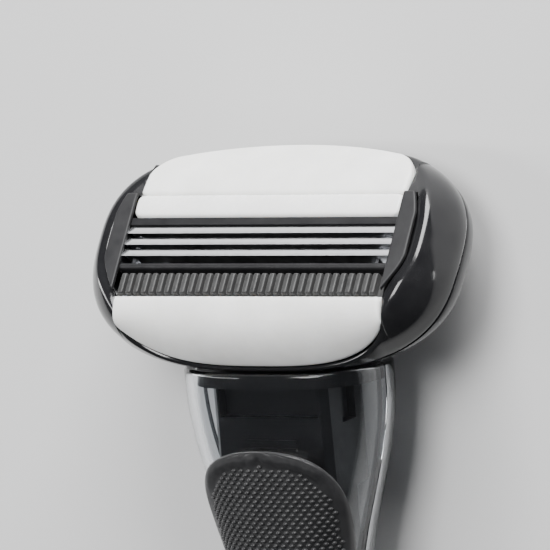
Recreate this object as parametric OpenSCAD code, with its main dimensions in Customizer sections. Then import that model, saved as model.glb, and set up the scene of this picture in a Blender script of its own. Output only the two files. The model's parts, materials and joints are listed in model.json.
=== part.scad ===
// Cartridge razor lying on its back: X runs along the blades, the head points to -Y,
// the tail to +Y, and the grip side faces +Z. Lengths are in millimetres.

/* [Blades] */
// Length of the blades between the end panels
blade_l = 34; // [28:0.5:42]
// Distance from one cutting edge to the next
blade_pitch = 1.41; // [1.35:0.01:1.75]
// Width of each blade strip from edge to back
blade_w = 1.1; // [0.9:0.05:1.3]
// Travel of a blade on its springs
blade_float = 0.3; // [0.2:0.05:0.4]

/* [Head face] */
// Height of the upper soap bar
upper_bar_h = 8.2; // [6.8:0.1:10]
// Height of the lower soap bar
lower_bar_h = 5.7; // [4.7:0.1:7]
// Height of the lubricating strip
lube_h = 2.9; // [2:0.1:4]
// Height of the black cap band
cap_h = 0.85; // [0.6:0.05:1.5]
// Height of the ribbed guard strip
guard_strip_h = 2.5; // [2:0.1:3.5]
// Height of the smooth guard bar
guard_bar_h = 0.8; // [0.6:0.1:1.2]
// Spacing of the rubber fins
fin_pitch = 1; // [0.8:0.05:1.3]
// Width of each end panel
panel_w = 2.2; // [1.8:0.1:3]
// Width of the flat rim outside the end panels
rim_w = 1.1; // [0.8:0.1:1.8]
// Swell of the side wall beyond the rim
bulge = 2.5; // [1.5:0.1:3.5]

/* [Head depth] */
// Depth at which the side wall is widest
wall_depth = 5; // [4:0.1:6]
// Depth of the whole head behind the blades
head_depth = 10.6; // [10.2:0.1:12.8]
// Wall of the rear cover
cover_wall = 1.3; // [1:0.1:1.8]
// Radius of the face curve over the upper bar
upper_crown_r = 16; // [13.4:0.1:20]
// Angle between the face and the handle axis
face_tilt = 37.3; // [34:0.1:40]

/* [Pivot] */
// Radius of the pivot pins
pin_r = 1; // [0.8:0.05:1.2]
// Radial clearance of running fits
run_gap = 0.05; // [0.03:0.01:0.08]
// Half width of the hub
hub_half_w = 7.5; // [6.6:0.1:9]
// Depth of the pivot axis behind the blades
pivot_depth = 7; // [6.9:0.1:7.4]
// Radius of the plunger
plunger_r = 1.4; // [1.1:0.05:1.7]

/* [Handle] */
// Length of the handle from collar to tail
handle_l = 116; // [96:1:140]
// Width of the neck
neck_w = 24.5; // [23:0.1:30]
// Thickness of the neck
neck_t = 16; // [15.6:0.1:19.2]
// Width of the waist
waist_w = 13.6; // [13:0.1:17]
// Thickness of the waist
waist_t = 14.4; // [13.6:0.1:17]
// Width of the belly
belly_w = 16.8; // [14:0.1:20]
// Thickness of the belly
belly_t = 15.6; // [14.4:0.1:17]
// Width of the tail
tail_w = 12.4; // [10.4:0.1:15]
// Thickness of the tail
tail_t = 11.2; // [10:0.1:13]
// Wall of the clear shell
shell_wall = 1.2; // [1:0.05:1.4]
// Thickness of the rubber grips
grip_t = 0.8; // [0.6:0.05:1]
// Travel of the release button
button_travel = 3.2; // [2.6:0.1:3.4]

/* [Hidden] */
$fn = 48;
eps = 0.01;
seat_gap = 0.05;

// Face layout, heights measured from the middle cutting edge
cap_y0 = blade_pitch + blade_w * cos(20) + 0.12;
cap_y1 = cap_y0 + cap_h;
lube_y0 = cap_y1 + 0.12;
lube_y1 = lube_y0 + lube_h;
upper_y0 = lube_y1 + 0.04;
face_top = upper_y0 + upper_bar_h;
cavity_y0 = -blade_pitch - 0.72;
guard_bar_y1 = cavity_y0 - 0.05;
guard_bar_y0 = guard_bar_y1 - guard_bar_h;
fins_y1 = guard_bar_y0 - 0.55;
fins_y0 = fins_y1 - guard_strip_h;
lower_y1 = fins_y0 - 0.08;
bar_bottom = lower_y1 - lower_bar_h;
face_bottom = bar_bottom - 0.35;

// Outline of the head
blade_half = blade_l / 2;
face_half_w = blade_half + panel_w + rim_w;
head_half_w = face_half_w + bulge;
head_half_h = (face_top - face_bottom) / 2;
head_mid_y = (face_top + face_bottom) / 2;
outline_n = 2.7;

// Face curve: flat over the blades, an arc over each soap bar
face_d0 = 0.2;
upper_arc_y = lube_y1 - 1.4;
lower_arc_y = lower_y1 + 1;
lower_crown_r = lower_arc_y - bar_bottom;
seam_top = wall_depth + 0.6;
seam_bottom = face_d0 + lower_crown_r + 1.1;
bar_edge_t = 1.1;
bar_t = 2.4;

// Slots of the tray and the panels over the blade ends
blade_end = blade_half + 0.5;
cavity_half = blade_end + 0.1;
tray_half = cavity_half + 0.7;
panel_x1 = blade_half + panel_w - 0.05;
panel_y0 = lower_y1 - 3;
panel_proud = 0.45;
panel_sunk = 0.25;
panel_y1 = upper_y0 + 0.1;
tray_d0 = 1.5;
tray_d1 = 4.6;
tray_back = 0.6;

// Pivot
pivot_y = fins_y0 + 0.6;
ear_x0 = hub_half_w + 1.1;
ear_t = 1.5;
bracket_t = 0.7;
cam_depth = 3;
cam_half_w = 1.5;

// Docking
arm_half_w = 5.6;
arm_z0 = -3.5;
arm_z1 = 2.8;
plunger_z = -1.5;
hub_y0 = -1.9;
hub_y1 = -4.2;
dock_y = -3.4;

// Handle shape along its length
waist_at = 27;
belly_at = 65;
section_n = 2.4;
// Depth of the flat on the back of the tail, on which the razor rests
tail_flat = 0.9;
cap_start = handle_l - 10;

function blend(a, b, s) = a + (b - a) * (1 - cos(180 * min(1, max(0, s)))) / 2;
function along(h, a, b, c, d) =
    h < waist_at ? blend(a, b, h / waist_at)
    : h < belly_at ? blend(b, c, (h - waist_at) / (belly_at - waist_at))
    : blend(c, d, (h - belly_at) / (handle_l - belly_at));
function half_w(h) = along(h, neck_w, waist_w, belly_w, tail_w) / 2;
function half_t(h) = along(h, neck_t, waist_t, belly_t, tail_t) / 2;
function axis_z(h) = along(h, 0, 0, 0, tail_t / 2 - rest_z - tail_flat);
function spow(v, p) = v < 0 ? -pow(-v, p) : pow(v, p);
function section(h, a, inset) = [
    (half_w(h) - inset) * spow(cos(a), 2 / section_n),
    h,
    axis_z(h) + (half_t(h) - inset) * spow(sin(a), 2 / section_n)
];

// Head skin: how far the wall lies inside the widest outline at a depth
rear_taper = 5;
function skin_inset(d) = d < wall_depth ? bulge * pow(1 - max(0, d) / wall_depth, 2)
    : rear_taper * pow((d - wall_depth) / (head_depth - wall_depth), 4);
function outline(a, inset) = [
    (head_half_w - inset) * spow(cos(a), 2 / outline_n),
    head_mid_y + (head_half_h - inset) * spow(sin(a), 2 / outline_n)
];
function crown(y) = y > upper_arc_y
    ? face_d0 + upper_crown_r - sqrt(pow(upper_crown_r, 2) - pow(min(y, face_top) - upper_arc_y, 2))
    : y < lower_arc_y
    ? face_d0 + lower_crown_r - sqrt(max(0, pow(lower_crown_r, 2) - pow(y - lower_arc_y, 2)))
    : face_d0;
// The same curve under the thin margin of a soap bar
function arc_depth(r, run, sink) = face_d0 + r
    - sqrt(max(0, pow(r - sink, 2) - pow(run, 2)));
function under_bar(y) = y > head_mid_y
    ? arc_depth(upper_crown_r, min(y, face_top) - upper_arc_y, bar_edge_t)
    : arc_depth(lower_crown_r, y - lower_arc_y, bar_edge_t);
function seam_depth(y) = seam_top + (seam_bottom - seam_top) * pow(max(0, -1 - y) / (-1 - face_bottom), 1.4);
function on_skin(a, d, extra) = let (p = outline(a, skin_inset(d) + extra)) [p[0], p[1], -d];

// Place of the head on the handle, and of the razor in its frame
blade_ahead = 15.9;
blade_above = 4.8;
function head_z(p) = blade_above - p[1] * sin(face_tilt) + p[2] * cos(face_tilt);
function head_y(p) = -blade_ahead - p[1] * cos(face_tilt) - p[2] * sin(face_tilt);
back_line = [for (d = [wall_depth:0.1:head_depth]) on_skin(90, d, 0)];
rest_z = -min([for (p = back_line) head_z(p)]);
head_tip = min([for (y = [face_top - 4:0.1:face_top]) head_y([0, y, -crown(y)])]);
mid_y = -(handle_l + head_tip) / 2;

module in_handle() {
    translate([0, mid_y, rest_z]) children();
}
module in_head() {
    in_handle() translate([0, -blade_ahead, blade_above]) rotate([face_tilt, 0, 0])
        rotate([0, 0, 180]) children();
}

// A closed skin through rings of points; path_closed joins the last ring to the first
module loft(rings, path_closed = false) {
    n = len(rings[0]);
    m = len(rings);
    sides = [
        for (i = [0:m - (path_closed ? 1 : 2)], j = [0:n - 1], k = [0, 1])
            let (a = i * n + j, b = i * n + (j + 1) % n, c = ((i + 1) % m) * n + (j + 1) % n,
                d = ((i + 1) % m) * n + j)
                k == 0 ? [a, b, c] : [a, c, d]
    ];
    ends = path_closed ? [] : [[for (j = [n - 1:-1:0]) j], [for (j = [0:n - 1]) (m - 1) * n + j]];
    polyhedron(points = [for (r = rings) each r], faces = concat(sides, ends), convexity = 6);
}

// A bar along X with its outline drawn in the plane of height and depth
module along_x(x0, x1) {
    translate([x0, 0, 0]) rotate([90, 0, 90]) linear_extrude(x1 - x0) children();
}
module block(x, y, z) {
    translate([x[0], y[0], z[0]]) cube([x[1] - x[0], y[1] - y[0], z[1] - z[0]]);
}

// ---- Head frame and covers ----
// The frame carries the bars where it runs behind them and the panels in a pocket beside them
bar_side = blade_half + 0.04;
bar_angle = acos(pow((bar_side + 0.01) / head_half_w, outline_n / 2));
pocket_angle = asin(pow((panel_y1 + 0.5 - head_mid_y) / (head_half_h - skin_inset(face_d0)), outline_n / 2));
function under_upper(a, d, k) = k == 0 ? d
    : under_upper(a, under_bar(outline(a, skin_inset(d))[1]) + 0.12, k - 1);
function clear_of_bar(p) = [(p[0] < 0 ? -1 : 1) * max(bar_side, abs(p[0])), p[1]];
function rim_line(a, extra) = clear_of_bar(outline(a, skin_inset(crown(outline(a, 0)[1])) + rim_w + extra));
function behind_bar_ring(a, upper) = let (
    d0 = upper ? under_upper(a, 3, 6) : face_d0 + bar_drop(0.98 * outline(a, 0)[0]) + 0.15,
    d1 = seam_depth(outline(a, 0)[1]),
    inner = outline(a, skin_inset(d0) + rim_w + 0.2),
    d_in = upper ? d0 : face_d0 + bar_drop(0.93 * inner[0]) + 0.3,
    back = outline(a, skin_inset(d1) + cover_wall)
)
    concat(
        [for (k = [0:5]) on_skin(a, d0 + (d1 - d0) * k / 5, 0)],
        [[back[0], back[1], -d1], [inner[0], inner[1], -(d_in + d1) / 2], [inner[0], inner[1], -d_in - 0.002]],
        [for (k = [1, 2]) let (p = outline(a, skin_inset(d0) + rim_w * (3 - k) / 3))
            [p[0], p[1], -d0 - (d_in - d0) * (3 - k) / 3 - 0.001]]
    );
function beside_bar_ring(a, pocket) = let (
    d0 = crown(outline(a, 0)[1]),
    d1 = seam_depth(outline(a, 0)[1]),
    floor_d = d0 + (pocket ? panel_sunk + 0.3 : 0.001),
    rim = rim_line(a, 0),
    inner_x = pocket ? max(bar_side, min(tray_half + 0.1, abs(rim[0]) - 0.02)) : bar_side,
    inner = [sign(rim[0]) * inner_x, rim[1] * 0.97],
    back = clear_of_bar(outline(a, skin_inset(d1) + cover_wall))
)
    concat(
        [for (k = [0:5]) let (d = d0 + (d1 - d0) * k / 5, p = clear_of_bar(outline(a, skin_inset(d)))) [p[0], p[1], -d]],
        [
            [back[0], back[1], -d1],
            [inner[0], inner[1], -(floor_d + d1) / 2],
            [inner[0], inner[1], -floor_d],
            [rim[0], rim[1], -floor_d - 0.001],
            [rim[0], rim[1], -d0]
        ]
    );
function sweep(a0, a1, n) = [for (k = [0:n]) a0 + 0.01 + (a1 - a0 - 0.02) * k / n];
module head_frame() {
    color("#141416") in_head() loft(concat(
        [for (a = sweep(-bar_angle, pocket_angle, 26)) beside_bar_ring(a, true)],
        [for (a = sweep(pocket_angle, bar_angle, 8)) beside_bar_ring(a, false)],
        [for (a = sweep(bar_angle, 180 - bar_angle, 24)) behind_bar_ring(a, true)],
        [for (a = sweep(180 - bar_angle, 180 - pocket_angle, 8)) beside_bar_ring(a, false)],
        [for (a = sweep(180 - pocket_angle, 180 + bar_angle, 26)) beside_bar_ring(a, true)],
        [for (a = sweep(180 + bar_angle, 360 - bar_angle, 24)) behind_bar_ring(a, false)]
    ), true);
}

cover_steps = 80;
function cover_ring(s, extra) = [
    for (i = [0:cover_steps - 1])
        let (a = (i + 0.5) * 360 / cover_steps, p = outline(a, 0), d0 = seam_depth(p[1]) + 0.02,
            d = d0 + (head_depth - (extra > 0 ? cover_wall : 0) - d0) * s)
            on_skin(a, d, extra)
];
module rear_cover() {
    outer_rings = [for (k = [0:7]) cover_ring(sin(90 * k / 7), 0)];
    inner_rings = [for (k = [7:-1:0]) cover_ring(sin(90 * k / 7), cover_wall)];
    color("#101012") in_head() difference() {
        loft(concat(inner_rings, outer_rings));
        block([-ear_x0 - ear_t - 0.2, ear_x0 + ear_t + 0.2], [face_bottom - 1, 1],
            [-head_depth - 1, -seam_top + 2]);
    }
}

module end_panel(side) {
    color("#3a3a3e") in_head() mirror([side < 0 ? 1 : 0, 0, 0]) {
        intersection() {
            along_x(bar_side, panel_x1) difference() {
                panel_profile(-panel_proud);
                panel_profile(panel_sunk);
            }
            translate([0, 0, -12]) linear_extrude(14)
                polygon(concat([[0, 0]], [for (a = [-bar_angle:2:60]) rim_line(a, seat_gap)]));
            union() {
                block([cavity_half + 0.05, panel_x1 + 1], [panel_y0, panel_y1], [-12, 2]);
                block([blade_half, cavity_half + 0.1], [panel_y0, panel_y1], [0.03, 2]);
            }
        }
    }
}
// Face curve in the plane of height (X) and outward normal (Y), raised or sunk by depth
module panel_profile(sink) {
    ys = concat([for (k = [0:16]) panel_y0 + 0.3 + (panel_y1 - 0.35 - panel_y0) * k / 16]);
    polygon(concat([for (y = ys) [y, -crown(y) - sink]], [[panel_y1 - 0.05, -9], [panel_y0 + 0.3, -9]]));
}

// ---- Soap bars and their trays ----
// Far edge of a bar: an arc with rounded corners above, the outline of the head below
bar_half = blade_half - 0.02;
bar_corner_r = 3;
bar_arc_r = 3 * blade_half;
function bar_far(x, upper) = upper
    ? face_top - 0.22 - pow(x, 2) / (2 * bar_arc_r) - bar_corner_r
        + sqrt(pow(bar_corner_r, 2) - pow(max(0, abs(x) - bar_half + bar_corner_r), 2))
    : head_mid_y - (head_half_h - 0.35)
        * pow(1 - pow(abs(x) / (head_half_w - 0.35), outline_n), 1 / outline_n);
// Depth to which the lower bar wraps round the head, less towards its ends
function bar_drop(x) = lower_crown_r * pow(max(0, 1 - pow(abs(x) / (blade_half + 0.5), 4)), 0.6);
// Point at a share s of the way over a bar and at a depth t under its surface
function bar_point(x, s, t, upper) = upper
    ? let (
        a0 = asin((upper_y0 - upper_arc_y) / upper_crown_r),
        a1 = asin((bar_far(x, true) - upper_arc_y) / upper_crown_r),
        a = a0 + (a1 - a0) * s,
        r = upper_crown_r - t
    ) [x, upper_y0 + r * (sin(a) - sin(a0)), r * cos(a) - face_d0 - upper_crown_r]
    : let (
        run = lower_arc_y - bar_far(x, false),
        a0 = asin((lower_arc_y - lower_y1) / run),
        a = a0 + (90 - a0) * s,
        drop = bar_drop(x),
        thick = min(t, 0.6 * drop)
    ) [x, lower_y1 - (run - thick) * (sin(a) - sin(a0)), -face_d0 - thick - (drop - thick) * (1 - cos(a))];
module bar_slab(upper, half, share, top_t, low_t, edge_t) {
    nx = 14;
    ny = 10;
    across = 2 * nx + 1;
    rows = [for (low = [false, true], j = [0:ny]) [for (i = [-nx:nx])
        bar_point(half * sin(90 * i / nx), share * j / ny, low ? (j > 0.65 * ny ? edge_t : low_t) : top_t, upper)]];
    flip = upper ? 0 : 1;
    function quad(a, b, c, d) = flip == 0 ? [[a, b, c], [a, c, d]] : [[c, b, a], [d, c, a]];
    function at(low, j, i) = (low * (ny + 1) + j) * across + i;
    polyhedron(
        points = [for (r = rows) each r],
        faces = concat(
            [for (j = [0:ny - 1], i = [0:across - 2])
                each quad(at(0, j, i), at(0, j + 1, i), at(0, j + 1, i + 1), at(0, j, i + 1))],
            [for (j = [0:ny - 1], i = [0:across - 2])
                each quad(at(1, j, i), at(1, j, i + 1), at(1, j + 1, i + 1), at(1, j + 1, i))],
            [for (i = [0:across - 2]) each quad(at(0, 0, i), at(0, 0, i + 1), at(1, 0, i + 1), at(1, 0, i))],
            [for (i = [0:across - 2]) each quad(at(0, ny, i), at(1, ny, i), at(1, ny, i + 1), at(0, ny, i + 1))],
            [for (j = [0:ny - 1]) each quad(at(0, j, 0), at(1, j, 0), at(1, j + 1, 0), at(0, j + 1, 0))],
            [for (j = [0:ny - 1]) each quad(at(0, j, across - 1), at(0, j + 1, across - 1),
                at(1, j + 1, across - 1), at(1, j, across - 1))]
        ),
        convexity = 6
    );
}
module upper_soap_bar() {
    color("#f0f0ee") in_head() bar_slab(true, bar_half, 1, 0, bar_t, bar_edge_t);
}
module lower_soap_bar() {
    color("#ececea") in_head() bar_slab(false, bar_half, 1, 0, bar_t, bar_edge_t);
}
// Trays that carry the bars from behind
tray_t = 0.9;
module upper_bar_tray() {
    color("#1c1c1e") in_head() bar_slab(true, 0.7 * blade_half, 0.6, bar_t + 0.02, bar_t + tray_t, bar_t + tray_t);
}
module lower_bar_tray() {
    color("#1c1c1e") in_head() bar_slab(false, 0.7 * blade_half, 0.6, bar_t + 0.02, bar_t + tray_t, bar_t + tray_t);
}

// ---- Blade unit ----
module lubricating_strip() {
    color("#f4f4f2") in_head() along_x(-blade_half + seat_gap, blade_half - seat_gap) {
        difference() {
            translate([(lube_y0 + lube_y1) / 2, -5.35]) circle(5.4, $fn = 96);
            translate([lube_y0 - 20, -20]) square([20, 40]);
            translate([lube_y1, -20]) square([20, 40]);
            translate([lube_y0 - 1, -20 - tray_d0]) square([lube_h + 2, 20]);
        }
    }
}
module cap_band() {
    color("#0c0c0d") in_head() block([-blade_half + seat_gap, blade_half - seat_gap], [cap_y0, cap_y1],
        [-tray_d0, -0.12]);
}
module guard_bar() {
    color("#222226") in_head() along_x(-blade_half + seat_gap, blade_half - seat_gap) {
        translate([guard_bar_y0, -tray_d0]) square([guard_bar_h, tray_d0 - 0.45]);
        translate([(guard_bar_y0 + guard_bar_y1) / 2, -0.45]) circle(guard_bar_h / 2);
    }
}
fin_count = floor((blade_l - 0.8) / fin_pitch);
module guard_strip() {
    color("#28282a") in_head() {
        block([-blade_half + seat_gap, blade_half - seat_gap], [fins_y0, fins_y1], [-tray_d0, -0.95]);
        for (i = [0:fin_count - 1]) {
            x = (i - (fin_count - 1) / 2) * fin_pitch;
            block([x - 0.26, x + 0.26], [fins_y0, fins_y1], [-1, 0.02]);
        }
    }
}
module blade_tray() {
    color("#18181a") in_head() difference() {
        union() {
            block([-blade_half + 0.1, blade_half - 0.1], [fins_y0, lube_y1 - 0.1],
                [-tray_d1 - tray_back, -tray_d0 - 0.01]);
            block([-tray_half, tray_half], [cavity_y0 - 0.6, cap_y1], [-tray_d1 - tray_back, -tray_d0 - 0.01]);
            for (s = [-1, 1])
                block([min(s * (cavity_half + 0.02), s * tray_half), max(s * (cavity_half + 0.02), s * tray_half)],
                    [cavity_y0 - 0.6, cap_y1], [-tray_d1, -0.6]);
        }
        block([-cavity_half, cavity_half], [cavity_y0, cap_y0 + 0.06], [-tray_d1, 1]);
        for (i = [-4:4])
            block([i * 3.6 - 1.3, i * 3.6 + 1.3], [cavity_y0 + 0.4, cap_y0 - 0.4], [-tray_d1 - 1, -tray_d1 + 1]);
    }
}
blade_t = 0.16;
support_t = 0.24;
leg_d = 3.5;
function edge_y(n) = (2 - n) * blade_pitch;
module blade(n) {
    color("#d8dade") in_head() along_x(-blade_end, blade_end) translate([edge_y(n), 0]) rotate(-20)
        polygon([[0, 0], [0.32, 0.03], [blade_w, 0.03], [blade_w, 0.03 - blade_t], [0.32, 0.03 - blade_t]]);
}
module blade_support(n) {
    top = [cos(20) * 0.5 - sin(20) * 0.14, -sin(20) * 0.5 - cos(20) * 0.14];
    bend = [cos(20) * (blade_w - 0.06) - sin(20) * 0.14, -sin(20) * (blade_w - 0.06) - cos(20) * 0.14];
    color("#9a9ca2") in_head() along_x(-blade_end, blade_end) translate([edge_y(n), 0])
        polygon([top, bend, [bend[0], -leg_d], [bend[0] - support_t, -leg_d],
            [bend[0] - support_t, bend[1] - 0.14], [top[0], top[1] - 0.2]]);
}
module blade_springs(n) {
    color("#2a2a2c") in_head() for (s = [-1, 1])
        translate([0, edge_y(n) + 0.45, 0]) rotate([90, 0, 0]) linear_extrude(0.5, center = true)
            polygon([[s * cavity_half, -tray_d1], [s * cavity_half, -tray_d1 + 0.2],
                [s * (cavity_half - 4), -leg_d - 0.02], [s * (cavity_half - 4.6), -leg_d - 0.02],
                [s * (cavity_half - 4.6), -leg_d - 0.2], [s * (cavity_half - 4), -leg_d - 0.22]]);
}
clip_x = blade_half - 1.5;
module clip(side) {
    color("#c4c6ca") in_head() difference() {
        block([side * clip_x - 0.2, side * clip_x + 0.2], [cavity_y0 + 0.02, cap_y0 + 0.02], [-tray_d1, -0.5]);
        for (n = [1:3])
            block([side * clip_x - 1, side * clip_x + 1],
                [edge_y(n) - 0.12, edge_y(n) + blade_w + 0.06], [-leg_d - blade_float - 0.3, 1]);
    }
}

// ---- Pivot bracket, inside the head ----
module pivot_bracket() {
    bd = tray_d1 + tray_back + 0.02;
    color("#202023") in_head() difference() {
        union() {
            block([-ear_x0 - ear_t, ear_x0 + ear_t], [pivot_y - 2.2, pivot_y + 9], [-bd - bracket_t, -bd]);
            for (s = [-1, 1]) {
                x0 = s > 0 ? ear_x0 : -ear_x0 - ear_t;
                translate([x0, pivot_y, -pivot_depth]) rotate([0, 90, 0]) cylinder(h = ear_t, r = pivot_depth - bd);
                block([x0, x0 + ear_t], [pivot_y - 1.7, pivot_y + 1.7], [-pivot_depth, -bd - eps]);
            }
            block([-cam_half_w, cam_half_w], [pivot_y + 1.1, pivot_y + 5.1],
                [-pivot_depth - cam_depth, -bd - eps]);
        }
        translate([-30, pivot_y, -pivot_depth]) rotate([0, 90, 0]) cylinder(h = 60, r = pin_r + run_gap);
        block([-hub_half_w - 0.5, hub_half_w + 0.5], [pivot_y - 3, pivot_y + 1], [-bd - bracket_t - 1, -bd + 1]);
    }
}

// ---- Hub, on the docking arm ----
pivot_hy = head_y([0, pivot_y, -pivot_depth]);
pivot_hz = head_z([0, pivot_y, -pivot_depth]);
barrel_r = pin_r + 0.5;
module cartridge_hub() {
    color("#17171a") in_handle() {
        difference() {
            union() {
                block([-hub_half_w, hub_half_w], [hub_y1, hub_y0], [-6.2, pivot_hz + 1.3]);
                for (s = [-1, 1]) {
                    x0 = s > 0 ? 3.2 : -hub_half_w;
                    translate([x0, pivot_hy, pivot_hz]) rotate([0, 90, 0])
                        cylinder(h = hub_half_w - 3.2, r = barrel_r);
                    block([x0, x0 + hub_half_w - 3.2], [pivot_hy, hub_y1 + eps],
                        [pivot_hz - barrel_r, pivot_hz + barrel_r - 0.2]);
                }
                for (s = [-1, 1])
                    translate([s > 0 ? 6 : -ear_x0 - ear_t + 0.1, pivot_hy, pivot_hz]) rotate([0, 90, 0])
                        cylinder(h = ear_x0 + ear_t - 6.1, r = pin_r);
            }
            block([-arm_half_w - run_gap, arm_half_w + run_gap], [dock_y - 0.1, 1],
                [arm_z0 - run_gap, arm_z1 + run_gap]);
            translate([0, 1, plunger_z]) rotate([90, 0, 0]) cylinder(h = 8, r = plunger_r + 0.3);
        }
    }
}

// ---- Plunger and docking arm ----
shank_r = 2.8;
shank_l = 16;
plunger_l = 11.4;
// The ball of the tip touches the cam face of the bracket at rest
tip_y = pivot_hy - ((-cam_depth - plunger_r - 0.03) - (plunger_z - pivot_hz) * cos(face_tilt))
    / sin(face_tilt);
module plunger() {
    color("#b8bac0") in_handle() translate([0, tip_y, plunger_z]) {
        rotate([-90, 0, 0]) cylinder(h = plunger_l, r = plunger_r);
        sphere(r = plunger_r);
    }
}
bore_end = shank_l - 1.5;
module helix(coil_r, wire_r, length, turns) {
    steps = turns * 12;
    loft([
        for (i = [0:steps])
            let (a = i * 30, y = wire_r + (length - 2 * wire_r) * i / steps)
                [for (k = [0:5]) [
                    (coil_r + wire_r * cos(k * 60)) * cos(a),
                    y + wire_r * sin(k * 60),
                    (coil_r + wire_r * cos(k * 60)) * sin(a)
                ]]
    ]);
}
spring_y0 = tip_y + plunger_l + 0.05;
module plunger_spring() {
    color("silver") in_handle() translate([0, spring_y0, plunger_z])
        helix(plunger_r - 0.45, 0.2, bore_end - 0.1 - spring_y0, 6);
}
module docking_arm() {
    color("#1b1b1e") in_handle() difference() {
        union() {
            block([-arm_half_w, arm_half_w], [dock_y, 1.5], [arm_z0, arm_z1]);
            translate([0, 1.45, plunger_z + 0.3]) rotate([-90, 0, 0]) cylinder(h = shank_l - 1.45, r = shank_r);
        }
        translate([0, -10, plunger_z]) rotate([-90, 0, 0]) cylinder(h = 10 + bore_end, r = plunger_r + run_gap);
    }
}

// ---- Handle ----
core_half_w = 7.2;
core_z0 = -4.9;
core_z1 = 5.1;
core_y0 = 0.1;
collar_y0 = -1.5;
ejector_z0 = -6;
ejector_z1 = -5;
ejector_half_w = 2.6;
ejector_y1 = 15;
module neck_collar() {
    color("#0e0e10") in_handle() difference() {
        translate([0, core_y0 - 0.02, 0]) rotate([90, 0, 0]) linear_extrude(core_y0 - 0.02 - collar_y0)
            polygon([for (i = [0:63]) let (p = section(0, i * 360 / 64, shell_wall + 0.16)) [p[0], p[2]]]);
        block([-arm_half_w - 0.03, arm_half_w + 0.03], [-3, 3], [arm_z0 - 0.03, arm_z1 + 0.03]);
        block([-ejector_half_w - 0.1, ejector_half_w + 0.1], [-3, 3], [-9, ejector_z1 + 0.1]);
    }
}
module inner_core() {
    color("#1a1a1d") in_handle() difference() {
        union() {
            translate([0, 12, 0]) rotate([90, 0, 0]) linear_extrude(12 - core_y0) polygon([
                for (s = [1, -1]) each [
                    [s * core_half_w, s > 0 ? core_z0 + 1.2 : core_z1 - 1],
                    [s * core_half_w, s > 0 ? core_z1 - 1 : core_z0 + 1.2],
                    [s * (core_half_w - (s > 0 ? 0.8 : 1.2)), s > 0 ? core_z1 - 0.2 : core_z0],
                    [-s * (core_half_w - (s > 0 ? 0.8 : 1.2)), s > 0 ? core_z1 - 0.2 : core_z0]
                ]
            ]);
            block([-5, 5], [11, 21], [core_z0, 4.4]);
            block([-2, 2], [20.9, 22.5], [-6, -3.5]);
            for (k = [0:1])
                block([-3.2, 3.2], [6 + k * 0.9, 6.4 + k * 0.9], [core_z1 - 0.3, core_z1]);
        }
        block([-6.1, 6.1], [-1, 3.5], [core_z1 - 1.4, 9]);
        block([-arm_half_w - 0.03, arm_half_w + 0.03], [0, 1.6], [arm_z0 - 0.03, arm_z1 + 0.03]);
        for (s = [-1, 1])
            block([s * core_half_w - 1, s * core_half_w + 1], [-1, 4.6], [-1.6, 1.6]);
        translate([0, -1, plunger_z + 0.3]) rotate([-90, 0, 0]) cylinder(h = shank_l + 1.2, r = shank_r + 0.02);
    }
}
spine_half = 3;
module core_spine() {
    color("#1a1a1d") in_handle() loft([
        for (h = stations(21.05, cap_start - 1.1, 14))
            [for (q = [[1, 1], [-1, 1], [-1, -1], [1, -1]])
                [q[0] * spine_half, h, axis_z(h) + q[1] * (spine_half + 0.4)]]
    ]);
}
shell_y0 = -1.8;
function shell_ring(h, a0, a1, t0, t1) = concat(
    [for (k = [0:16]) section(h, a0 + (a1 - a0) * k / 16, t0)],
    [for (k = [16:-1:0]) section(h, a0 + (a1 - a0) * k / 16, t1)]
);
function stations(y0, y1, n) = [for (k = [0:n]) y0 + (y1 - y0) * k / n];
shell_stations = stations(shell_y0, cap_start, 24);
module front_shell() {
    color("#9aa0a6", 0.4) in_handle()
        loft([for (h = shell_stations) shell_ring(h, 0.4, 179.6, 0, shell_wall)]);
}
button_y0 = 9.5;
module rear_shell() {
    color("#9aa0a6", 0.4) in_handle() difference() {
        loft([for (h = shell_stations) shell_ring(h, 180.4, 359.6, 0, shell_wall)]);
        block([-2.3, 2.3], [button_y0 - button_travel - 0.1, button_y0 + 3.3], [-12, -4]);
        // Flat underside that carries on from the end cap
        block([-neck_w, neck_w], [handle_l / 2, cap_start + 1], [-rest_z - 5, -rest_z]);
    }
}
// Half angle of a grip from its middle line, closing in an arch of its own length at each end
function arch(h, y0, y1, r0, r1, full) =
    let (s = h < (y0 + y1) / 2 ? min(1, (h - y0) / r0) : min(1, (y1 - h) / r1))
        min(76, full * sqrt(max(0.0016, 1 - pow(1 - s, 2))));
function grip_rows(y0, y1, r0, r1) = concat(
    [for (k = [0:9]) y0 + r0 * (1 - cos(10 * k))],
    [for (k = [1:15]) y0 + r0 + (y1 - y0 - r0 - r1) * k / 16],
    [for (k = [6:-1:0]) y1 - r1 * (1 - cos(15 * k))]
);
module grip(y0, y1, r0, r1, full, side) {
    loft([
        for (h = grip_rows(y0, y1, r0, r1)) let (half = arch(h, y0, y1, r0, r1, full))
            [for (q = [0, 1], k = [0:14]) let (j = q == 0 ? k : 14 - k)
                section(h, side * 90 - half + 2 * half * j / 14, q == 0 ? -grip_t : -0.07)]
    ]);
}
module front_grip() {
    color("#161618") in_handle() grip(6.8, handle_l - 18, 20, 9, 80, 1);
}
module rear_grip() {
    color("#161618") in_handle() grip(22, handle_l - 30, 9, 9, 70, -1);
}
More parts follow.
